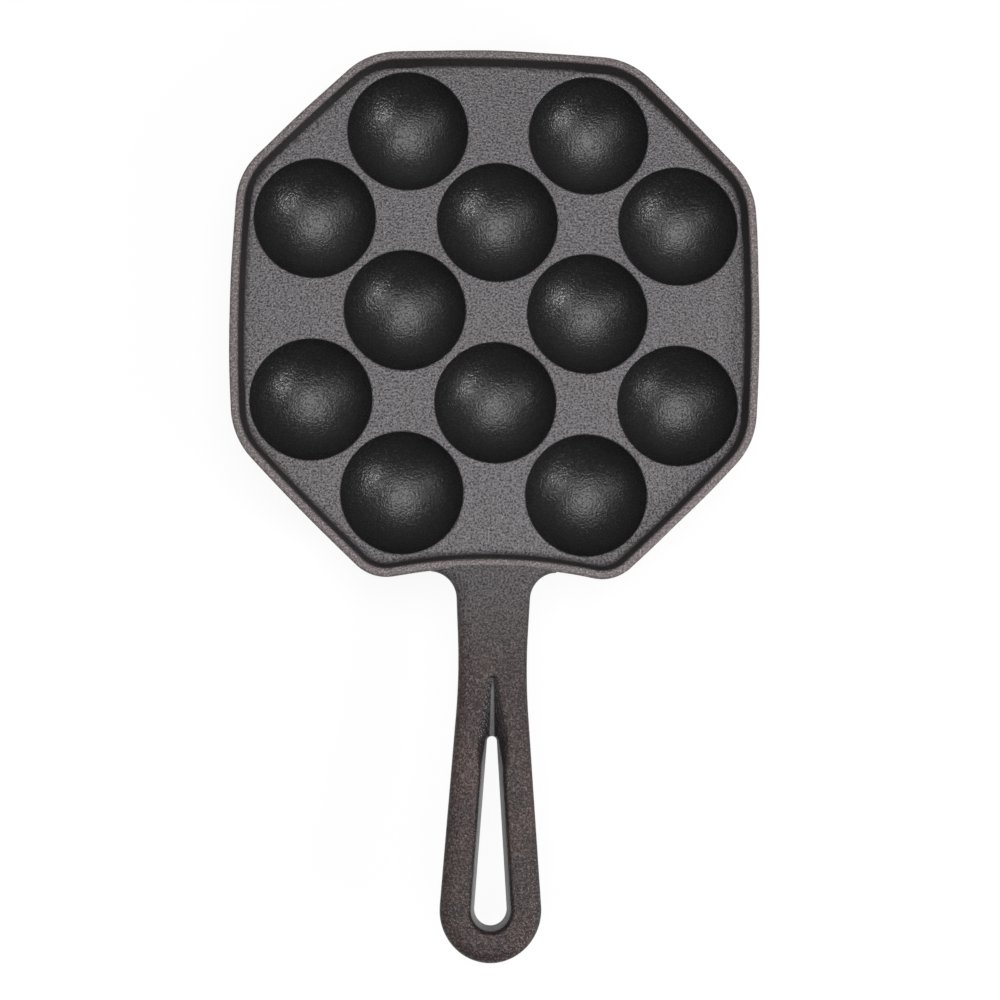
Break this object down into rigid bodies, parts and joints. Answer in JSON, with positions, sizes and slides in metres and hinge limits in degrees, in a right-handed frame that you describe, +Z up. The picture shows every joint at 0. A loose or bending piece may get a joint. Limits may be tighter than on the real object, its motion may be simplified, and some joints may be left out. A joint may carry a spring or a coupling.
{
  "type": "takoyaki pan",
  "caption": "Cast-iron takoyaki pan: an octagonal griddle plate with rounded cups inside a raised rim, and one long handle with a hanging slot.",
  "frame": {"origin": "centre of the octagonal plate, on its top face between the cups", "axes": "+Z up out of the cups, -Y along the handle, +X to the right as seen from above with the handle towards the viewer"},
  "size_m": [0.2098, 0.3562, 0.0412],
  "materials": {
    "plate_iron": "seasoned, fine sand-cast grain",
    "cup_iron": "seasoned black, oiled and slightly glossy",
    "edge_iron": "seasoned, brownish where the grain is worn"
  },
  "bodies": {
    "root": {"griddle_plate": "plate_iron", "rim": "edge_iron", "handle_neck": "edge_iron", "handle_loop": "edge_iron", "cup_row1_left": "cup_iron", "cup_row1_right": "cup_iron", "cup_row2_far_left": "cup_iron", "cup_row2_middle": "cup_iron", "cup_row2_far_right": "cup_iron", "cup_row3_left": "cup_iron", "cup_row3_right": "cup_iron", "cup_row4_far_left": "cup_iron", "cup_row4_middle": "cup_iron", "cup_row4_far_right": "cup_iron", "cup_row5_left": "cup_iron", "cup_row5_right": "cup_iron"}
  },
  "joints": []
}
